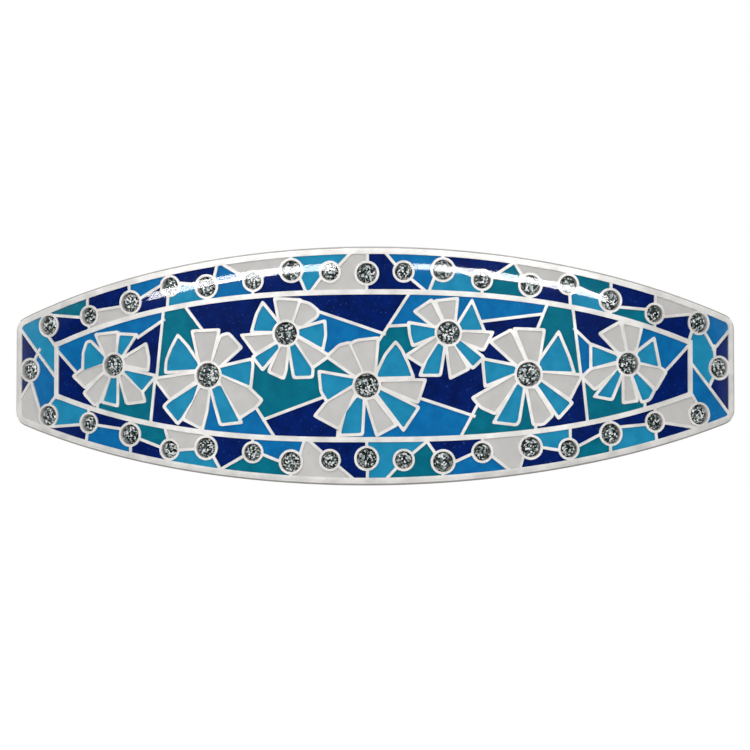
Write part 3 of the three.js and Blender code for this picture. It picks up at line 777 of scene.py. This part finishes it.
def poured(piece, name, colour, slot, node):
    """Lowers a cell tool's top to the level of the enamel, and bends it into its cell."""
    for vertex in piece.data.vertices:
        if vertex.co.y < -1:
            vertex.co.y = -ENAMEL_TOP
    bend(piece, FLOOR_R)
    finished(piece, name, "plate", slot, ENAMELS[colour], node)


for colour, piece in border_pieces.items():
    poured(piece, f"border_enamel_{colour}", colour, "enamel_blue", "border_enamel")
for colour, piece in field_pieces.items():
    poured(piece, f"field_enamel_{colour}", colour, "enamel_navy", "field_enamel")
for colour, piece in petals_all.items():
    poured(piece, f"petal_enamel_{colour}", colour, "enamel_navy", "field_enamel")


# ---- Stones ----
# Flat-backed cut glass with a dark foil: 34 in the borders, 2 at the ends and 7 in the flowers.
# Each has a girdle, sixteen crown facets in two tiers and a table, and sits in its cup under the resin.

STONE_FLOOR = 0.05
GIRDLE_H = 0.25
CUT_SIDES = 16
CROWN_TIERS = ((0.3, 0.84), (0.2, 0.74))  # rise, share of the width below

# Pressed glass over a dark foil, polished by fire: it looks near black. The grey and white flashes of its facets are
# painted glints, random specks in the base colour.
crystal, tree, shader = new_material("foiled_dark_glass")
place = add(tree, "ShaderNodeTexCoord").outputs["Object"]
glint_specks = add(tree, "ShaderNodeTexVoronoi", {"Vector": place, "Scale": per(0.22), "Randomness": 1.0})
# The ramp's grey and white stops are painted glints; its dark stops are the stone's own colour.
painted_glints = stops(
    add(tree, "ShaderNodeValToRGB", {"Fac": glint_specks.outputs["Color"]}),
    [(0.0, "#0E1715"), (0.42, "#1B2826"), (0.55, "#5C6B6A"), (0.68, "#B9C4C5"), (0.8, "#FFFFFF")],
)
tree.links.new(painted_glints.outputs["Color"], shader.inputs["Base Color"])
shader.inputs["Metallic"].default_value = 0.25
shader.inputs["Roughness"].default_value = 0.18


def pick_front(piece):
    """Selects the largest face that looks straight out of a flat piece, and nothing else."""
    select_only(piece)
    bpy.ops.object.mode_set(mode="EDIT")
    bpy.ops.mesh.select_mode(type="FACE")
    bpy.ops.mesh.select_all(action="DESELECT")
    bpy.ops.object.mode_set(mode="OBJECT")
    facing = [face for face in piece.data.polygons if face.normal.y < -0.9]
    max(facing, key=lambda face: face.area).select = True
    bpy.ops.object.mode_set(mode="EDIT")


def cut_stone(radius):
    """A cut stone lying flat, with its table facing out."""
    stone = slab("stone", ring(0, 0, radius, CUT_SIDES), STONE_FLOOR, GIRDLE_H)
    pick_front(stone)
    turn = math.pi / CUT_SIDES
    for rise, share in CROWN_TIERS:
        bpy.ops.mesh.extrude_region_move(TRANSFORM_OT_translate={"value": (0, -rise, 0)})
        bpy.ops.transform.resize(value=(share, 1, share), center_override=(0, 0, 0))
        bpy.ops.transform.rotate(value=turn, orient_axis="Y", center_override=(0, 0, 0))
    bpy.ops.object.mode_set(mode="OBJECT")
    return stone


def turned(piece, angle, low_r=0.0, z=0.0):
    """Takes a piece drawn at the middle, with its depth as minus its radius, to its angle on the bend."""
    for vertex in piece.data.vertices:
        x, depth, height = vertex.co
        r = low_r - depth
        vertex.co = (
            x * math.cos(angle) + r * math.sin(angle),
            AXIS_Y + x * math.sin(angle) - r * math.cos(angle),
            z + height,
        )
    return piece


for name, s, z, radius in stones:
    stone = turned(cut_stone(radius), s / BEND_R, FLOOR_R, z)
    finished(stone, f"cut_{name}", "plate", "crystal", crystal, name, smooth=5)


# ---- Clear resin ----
# One domed layer of clear epoxy poured over enamel, walls and stones, rolling down to the rim at its edge.

COAT_INSET = 0.45
COAT_ROLL = 0.4  # by which it sinks towards its edge
COAT_ROLL_W = 4.0  # over this width
ROLL_STEPS = 10
COAT_H = BEND_R - FLOOR_R
UNDER = 0.03  # over the walls

# Poured epoxy that set with a glassy face: it hides nothing below it, and lamps draw sharp white streaks on it.
resin, tree, shader = new_material("clear_epoxy")
shader.inputs["Base Color"].default_value = linear("#FFFFFF")
shader.inputs["Metallic"].default_value = 1.0
shader.inputs["Roughness"].default_value = 0.06
gloss = add(tree, "ShaderNodeFresnel", {"IOR": 1.5})
clear = add(tree, "ShaderNodeBsdfTransparent")
skin = add(
    tree,
    "ShaderNodeMixShader",
    {"Fac": gloss.outputs["Fac"], 1: clear.outputs["BSDF"], 2: shader.outputs["BSDF"]},
)
# Light passes the coat without bending, so only its outer face may gleam.
inner_face = add(tree, "ShaderNodeNewGeometry").outputs["Backfacing"]
outer_skin = add(
    tree,
    "ShaderNodeMixShader",
    {"Fac": inner_face, 1: skin.outputs["Shader"], 2: clear.outputs["BSDF"]},
)
tree.links.new(outer_skin.outputs["Shader"], tree.nodes["Material Output"].inputs["Surface"])

outline = plate_outline(COAT_INSET)
coat = slab("coat", outline, WALL_R - FLOOR_R + UNDER, COAT_H - COAT_ROLL)
for k in range(1, ROLL_STEPS + 1):
    pick_front(coat)
    bpy.ops.mesh.extrude_region_move(TRANSFORM_OT_translate={"value": (0, 0, 0)})
    bpy.ops.object.mode_set(mode="OBJECT")
    inset = COAT_ROLL_W * (k / ROLL_STEPS) ** 1.3
    rise = COAT_H - COAT_ROLL * (1 - inset / COAT_ROLL_W) ** 2
    inner = plate_outline(COAT_INSET + inset)
    table = next(face for face in coat.data.polygons if face.select)
    for index in table.vertices:
        vertex = coat.data.vertices[index]
        here = Vector((vertex.co.x, vertex.co.z))
        nearest = min(range(len(outline)), key=lambda j: (Vector(outline[j]) - here).length)
        vertex.co = (inner[nearest][0], -rise, inner[nearest][1])
    outline = inner
bend(coat, FLOOR_R)
finished(coat, "resin_dome", "plate", "clear_epoxy", resin, "clear_coat", smooth=35)


# ---- Clip base ----
# The fixed half of a French clip: a nickel-plated steel strip soldered behind the plate, bent to the same curve.
# Two ears at one end carry the hinge pin, and two straps hold the ends of the tension leaf.

CLIP_HALF = 40.0
CLIP_W = 9.0
CLIP_END_ROUND = 2.5
CLIP_CORNER = 0.8
BASE_OUT_R = 94.7
BASE_IN_R = 93.9
ARM_OUT_R = 85.9
ARM_IN_R = 85.1
STRIP_T = 0.8
PIN_R = 0.6
PIN_HOLE_R = 0.65
PIN_AT_R = 89.0
EAR_R = 1.4
EAR_T = 0.8
HINGE_ANGLE = -0.39916
CATCH_ANGLE = 0.39071
LEAF_END_ANGLE = 0.35375
KEEPER_ANGLE = LEAF_END_ANGLE - 0.02
KEEPER_W = 1.5
LEAF_W = 6.0
LEAF_PLAY = 0.3
RIVET_HOLE_R = 0.6
STRAP_UNDER = 1.3
STRAP_T = 0.4
POST_T = 0.6
SUNK = 0.2  # how far the posts run into the strip
EAR_FOOT = 0.3  # how deep in the strip an ear starts

# Bright nickel on rolled steel strip: a slightly warm mirror, blurred lengthwise by faint rolling lines.
nickel, tree, shader = new_material("nickel_plated_steel")
place = add(tree, "ShaderNodeTexCoord").outputs["Object"]
lengthwise = add(tree, "ShaderNodeMapping", {"Vector": place, "Scale": (0.04, 1, 1)})
rolling = add(tree, "ShaderNodeTexNoise", {"Vector": lengthwise.outputs["Vector"], "Scale": per(0.25), "Detail": 4})
haze = add(tree, "ShaderNodeTexNoise", {"Vector": place, "Scale": per(3), "Detail": 3})
tone = stops(
    add(tree, "ShaderNodeValToRGB", {"Fac": haze.outputs["Fac"]}),
    [(0.3, "#CDCAC5"), (0.7, "#D8D6D2")],
)
polish = add(
    tree,
    "ShaderNodeMapRange",
    {"Value": rolling.outputs["Fac"], "From Min": 0.3, "From Max": 0.7, "To Min": 0.12, "To Max": 0.24},
)
lines = add(
    tree,
    "ShaderNodeBump",
    {"Height": rolling.outputs["Fac"], "Strength": 0.12, "Distance": 0.00003},
)
shader.inputs["Metallic"].default_value = 1.0
tree.links.new(tone.outputs["Color"], shader.inputs["Base Color"])
tree.links.new(polish.outputs["Result"], shader.inputs["Roughness"])
tree.links.new(lines.outputs["Normal"], shader.inputs["Normal"])


def strip_outline(start, end, half, start_round, end_round):
    """A strip's outline, with its two ends' corners rounded."""
    corners = []
    for x, z, radius, first in (
        (end - end_round, half - end_round, end_round, 0),
        (start + start_round, half - start_round, start_round, 1),
        (start + start_round, -half + start_round, start_round, 2),
        (end - end_round, -half + end_round, end_round, 3),
    ):
        for k in range(9):
            a = (first + k / 8) * math.pi / 2
            corners.append((x + radius * math.cos(a), z + radius * math.sin(a)))
    return corners


def bar(name, outline, low_z, high_z):
    """A solid with this outline in (x, minus radius), from one height to another."""
    return prism(name, [(x, y, low_z) for x, y in outline], (0, 0, high_z - low_z))


def block(x, y, z, wide, deep, high):
    """A block round a middle."""
    outline = [
        (x - wide / 2, y - deep / 2),
        (x + wide / 2, y - deep / 2),
        (x + wide / 2, y + deep / 2),
        (x - wide / 2, y + deep / 2),
    ]
    return bar("block", outline, z - high / 2, z + high / 2)


outline = strip_outline(-CLIP_HALF, CLIP_HALF, CLIP_W / 2, CLIP_CORNER, CLIP_END_ROUND)
base = slab("base", outline, 0, STRIP_T)
soften(base, 0.15)
carve(base, [slab("hole", ring(CATCH_ANGLE * BASE_OUT_R, 0, RIVET_HOLE_R), -1, 2)])
bend(base, BASE_IN_R, BASE_OUT_R)
parts = []
for z in (-CLIP_W / 2, CLIP_W / 2 - EAR_T):
    round_end = [
        (EAR_R * math.cos(a), -PIN_AT_R + EAR_R * math.sin(a))
        for a in (math.pi * k / 20 for k in range(21))
    ]
    foot = -BASE_OUT_R + EAR_FOOT
    profile = [(EAR_R, foot), *round_end, (-EAR_R, foot)]
    bore = bar("bore", ring(0, -PIN_AT_R, PIN_HOLE_R), z - 1, z + EAR_T + 1)
    ear = carve(bar("ear", profile, z, z + EAR_T), [bore])
    parts.append(turned(soften(ear, 0.1), HINGE_ANGLE))
for angle in (-KEEPER_ANGLE, KEEPER_ANGLE):
    wide = LEAF_W + 2 * (LEAF_PLAY + POST_T)
    strap_y = -(BASE_IN_R - STRAP_UNDER - STRAP_T / 2)
    high = STRAP_UNDER + STRAP_T + SUNK
    post_y = -(BASE_IN_R + SUNK - high / 2)
    keeper = block(0, strap_y, 0, KEEPER_W, STRAP_T, wide)
    posts = [block(0, post_y, side * (wide - POST_T) / 2, KEEPER_W, high, POST_T) for side in (-1, 1)]
    parts.append(turned(soften(carve(keeper, posts, "UNION"), 0.1), angle))
carve(base, parts, "UNION")
finished(base, "clip_strip", "plate", "nickel_steel", nickel, "clip_base")


# ---- Hinge pin ----
# A nickel-plated pin through both ears and the arm's knuckle, with its two ends headed over.

PIN_REACH = CLIP_W / 2 + 0.05
PIN_HEAD_R = 0.95
PIN_HEAD_T = 0.4
pin = bar("pin", ring(0, -PIN_AT_R, PIN_R, 32), -PIN_REACH - 0.1, PIN_REACH + 0.1)
heads = []
for low in (-PIN_REACH - PIN_HEAD_T, PIN_REACH):
    heads.append(soften(bar("head", ring(0, -PIN_AT_R, PIN_HEAD_R, 32), low, low + PIN_HEAD_T), 0.15, 3))
carve(pin, heads, "UNION")
finished(turned(pin, HINGE_ANGLE), "headed_pin", "plate", "nickel_steel", nickel, "hinge_pin")


# ---- Clasp arm ----
# The swinging half of the clip: a steel strip rolled round the pin at one end, with a window that the catch's
# legs snap through and a rounded thumb tab past it.

ARM_W = 8.6
KNUCKLE_R = 1.25
PIN_STAND = 3.1
LEG_OUT = 3.1
WINDOW_HALF = 2.6
knuckle_z = CLIP_W / 2 - EAR_T - 0.3
catch_at = CATCH_ANGLE * ARM_OUT_R
arm_start = HINGE_ANGLE * ARM_OUT_R - KNUCKLE_R
arm = slab("arm", strip_outline(arm_start, catch_at + 4.6, ARM_W / 2, 0.8, 2.5), 0, STRIP_T)
window_side = LEG_OUT + 0.15
window = [
    (catch_at + sx * WINDOW_HALF, sz * window_side) for sx, sz in ((-1, -1), (1, -1), (1, 1), (-1, 1))
]
carve(arm, [slab("window", rounded(window, 0.4), -1, 2)])
soften(arm, 0.12)
bend(arm, ARM_IN_R, ARM_OUT_R)
web = block(
    -KNUCKLE_R + STRIP_T / 2, -ARM_OUT_R - PIN_STAND / 2 + 0.1, 0, STRIP_T, PIN_STAND + 0.2, 2 * knuckle_z
)
knuckle = bar("knuckle", ring(0, -PIN_AT_R, KNUCKLE_R), -knuckle_z, knuckle_z)
carve(arm, [turned(web, HINGE_ANGLE), turned(soften(knuckle, 0.08), HINGE_ANGLE)], "UNION")
carve(arm, [turned(bar("bore", ring(0, -PIN_AT_R, PIN_HOLE_R), -CLIP_W, CLIP_W), HINGE_ANGLE)])
finished(arm, "swing_arm", "arm", "nickel_steel", nickel, "clasp_arm")


# ---- Tension leaf ----
# A thin strip of tempered spring steel, flatter than the base, that presses the hair against the arm.

LEAF_T = 0.4
LEAF_OUT_R = 91.7
# Bare spring steel, tempered and tumbled: greyer and duller than the nickel, with fine rolling lines.
tempered, tree, shader = new_material("tempered_spring_steel")
place = add(tree, "ShaderNodeTexCoord").outputs["Object"]
lengthwise = add(tree, "ShaderNodeMapping", {"Vector": place, "Scale": (0.03, 1, 1)})
rolling = add(tree, "ShaderNodeTexNoise", {"Vector": lengthwise.outputs["Vector"], "Scale": per(0.2), "Detail": 4})
tone = stops(
    add(tree, "ShaderNodeValToRGB", {"Fac": rolling.outputs["Fac"]}),
    [(0.3, "#8F9193"), (0.7, "#B0B1B2")],
)
polish = add(
    tree,
    "ShaderNodeMapRange",
    {"Value": rolling.outputs["Fac"], "From Min": 0.3, "From Max": 0.7, "To Min": 0.24, "To Max": 0.42},
)
shader.inputs["Metallic"].default_value = 1.0
tree.links.new(tone.outputs["Color"], shader.inputs["Base Color"])
tree.links.new(polish.outputs["Result"], shader.inputs["Roughness"])

end_r = BASE_IN_R - LEAF_PLAY
end_x = end_r * math.sin(LEAF_END_ANGLE)
sag = LEAF_OUT_R - end_r * math.cos(LEAF_END_ANGLE)
leaf_r = (end_x**2 + sag**2) / (2 * sag)
leaf_half = math.asin(end_x / leaf_r) * leaf_r
leaf = slab("leaf", strip_outline(-leaf_half, leaf_half, LEAF_W / 2, 0.6, 0.6), 0, LEAF_T)
soften(leaf, 0.08)
bend(leaf, leaf_r - LEAF_T, leaf_r, AXIS_Y - LEAF_OUT_R + leaf_r)
finished(leaf, "pressure_leaf", "plate", "spring_steel", tempered, "tension_leaf")


# ---- Catch ----
# A spring-steel saddle riveted to the base, with two legs that are pinched together to let the arm go.

CATCH_W = 3.2
LEG_T = 0.5
BARB = 0.55
LEG_TIP = 1.6
web_out_r = BASE_IN_R - 0.14
web_in_r = web_out_r - LEG_T
saddle = block(0, -(web_out_r + web_in_r) / 2, 0, CATCH_W, LEG_T, 2 * LEG_OUT)
soften(saddle, 0.1)
hole = prism("hole", [(x, -99, z) for x, z in ring(0, 0, RIVET_HOLE_R)], (0, 10, 0))
carve(saddle, [hole])
finished(turned(saddle, CATCH_ANGLE), "catch_saddle", "plate", "spring_steel", tempered, "catch_base")

barb_r = ARM_IN_R - 0.15
root_r = web_in_r - 0.1
tip_r = ARM_IN_R - LEG_TIP
for word, side in (("upper", 1), ("lower", -1)):
    profile = [
        (-root_r, LEG_OUT - LEG_T),
        (-root_r, LEG_OUT),
        (-barb_r, LEG_OUT),
        (-barb_r, LEG_OUT + BARB),
        (-tip_r - 0.1, LEG_OUT),
        (-tip_r, LEG_OUT - 0.1),
        (-tip_r, LEG_OUT - LEG_T),
    ]
    leg = prism("leg", [(-CATCH_W / 2, y, side * z) for y, z in profile], (CATCH_W, 0, 0))
    soften(leg, 0.06)
    finished(
        turned(leg, CATCH_ANGLE), f"pinch_leg_{word}", f"{word}_leg", "spring_steel", tempered, f"catch_leg_{word}"
    )

RIVET_HEAD_R = 1.1
RIVET_DOME = 0.45
rivet = prism("rivet", [(x, -(BASE_OUT_R - 0.1), z) for x, z in ring(0, 0, 0.5, 32)], (0, 1.5, 0))
head_r = web_in_r - 0.05
cap = [(x, -head_r, z) for x, z in ring(0, 0, RIVET_HEAD_R, 32)]
head = soften(prism("head", cap, (0, RIVET_DOME, 0)), 0.28, 4)
carve(rivet, [head], "UNION")
finished(turned(rivet, CATCH_ANGLE), "dome_rivet", "plate", "nickel_steel", nickel, "catch_rivet")


# ---- Studio ----
# A plain pale floor that throws no light back up, and a white surround that gloss sees darkened in front and
# below. One large soft light hangs above, one stands behind, and two long strip lights draw the streaks.

bpy.ops.object.select_all(action="DESELECT")
bpy.ops.mesh.primitive_plane_add(size=1.2, location=(0, 0, -0.06))
floor = bpy.context.object
floor.name = "studio_floor"
paper, tree, shader = new_material("white_paper")
shader.inputs["Base Color"].default_value = linear("#FAFAFA")
shader.inputs["Roughness"].default_value = 0.95
shader.inputs["Emission Color"].default_value = (1, 1, 1, 1)
shader.inputs["Emission Strength"].default_value = 0.7
floor.data.materials.append(paper)
floor.visible_glossy = False
floor.visible_diffuse = False

world = bpy.data.worlds.new("studio")
bpy.context.scene.world = world
world.use_nodes = True
tree = world.node_tree
backdrop = tree.nodes["Background"]
backdrop.inputs["Color"].default_value = (1, 1, 1, 1)
backdrop.inputs["Strength"].default_value = 1.0
ambient = add(tree, "ShaderNodeBackground", {"Color": (1, 1, 1, 1), "Strength": 0.54})
direction = add(tree, "ShaderNodeTexCoord").outputs["Generated"]
bearing = add(tree, "ShaderNodeSeparateXYZ", {"Vector": direction})
behind = add(
    tree,
    "ShaderNodeMapRange",
    {"Value": bearing.outputs["Y"], "From Min": -0.5, "From Max": -0.05, "To Min": 0.02, "To Max": 1.0},
)
above = add(
    tree,
    "ShaderNodeMapRange",
    {"Value": bearing.outputs["Z"], "From Min": -0.5, "From Max": 0.5, "To Min": 0.2, "To Max": 1.0},
)
strength = add(
    tree, "ShaderNodeMath", {0: behind.outputs["Result"], 1: above.outputs["Result"]}, operation="MULTIPLY"
)
mirrored = add(
    tree, "ShaderNodeBackground", {"Color": (1, 1, 1, 1), "Strength": strength.outputs["Value"]}
)
rays = add(tree, "ShaderNodeLightPath")
unseen = add(
    tree,
    "ShaderNodeMixShader",
    {"Fac": rays.outputs["Is Glossy Ray"], 1: ambient.outputs["Background"], 2: mirrored.outputs["Background"]},
)
shown = add(
    tree,
    "ShaderNodeMixShader",
    {"Fac": rays.outputs["Is Camera Ray"], 1: unseen.outputs["Shader"], 2: backdrop.outputs["Background"]},
)
tree.links.new(shown.outputs["Shader"], tree.nodes["World Output"].inputs["Surface"])


def soft_light(name, place, target, wide, high, watts, tilt=0):
    """A rectangular soft light at a place, in millimetres, facing a target and tilted by some degrees."""
    lamp = bpy.data.lights.new(name, "AREA")
    lamp.shape = "RECTANGLE"
    lamp.size = wide * MM
    lamp.size_y = high * MM
    lamp.energy = watts
    holder = bpy.data.objects.new(name, lamp)
    bpy.context.collection.objects.link(holder)
    holder.location = Vector(place) * MM
    facing = Vector(target) - Vector(place)
    holder.rotation_euler = facing.to_track_quat("-Z", "Y").to_euler()
    holder.rotation_euler.rotate_axis("Z", math.radians(tilt))
    return holder


soft_light("overhead_box", (-60, -330, 480), (0, 0, 0), 600, 300, 0.6)
soft_light("left_strip", (-235, -430, 118), (-10, 0, 10), 330, 46, 0.85, tilt=9)
soft_light("right_strip", (200, -430, 118), (10, 0, 10), 330, 40, 0.85, tilt=-9)
soft_light("back_fill", (0, 420, 260), (0, 0, 0), 500, 300, 0.5)

FACE_APEX = Vector((0, -8.4, 0))
CAMERA_FROM = Vector((0.0627, -0.9968, -0.0489))
camera_data = bpy.data.cameras.new("camera")
camera = bpy.data.objects.new("camera", camera_data)
bpy.context.collection.objects.link(camera)
camera.location = (FACE_APEX + CAMERA_FROM * 440) * MM
camera.rotation_euler = (-CAMERA_FROM).to_track_quat("-Z", "Y").to_euler()
camera_data.sensor_width = 36
camera_data.lens = 158.1
camera_data.shift_x = 0.0115
camera_data.shift_y = -0.0128
camera_data.clip_start = 0.01
camera_data.clip_end = 20
bpy.context.scene.camera = camera
bpy.context.scene.view_settings.view_transform = "Standard"
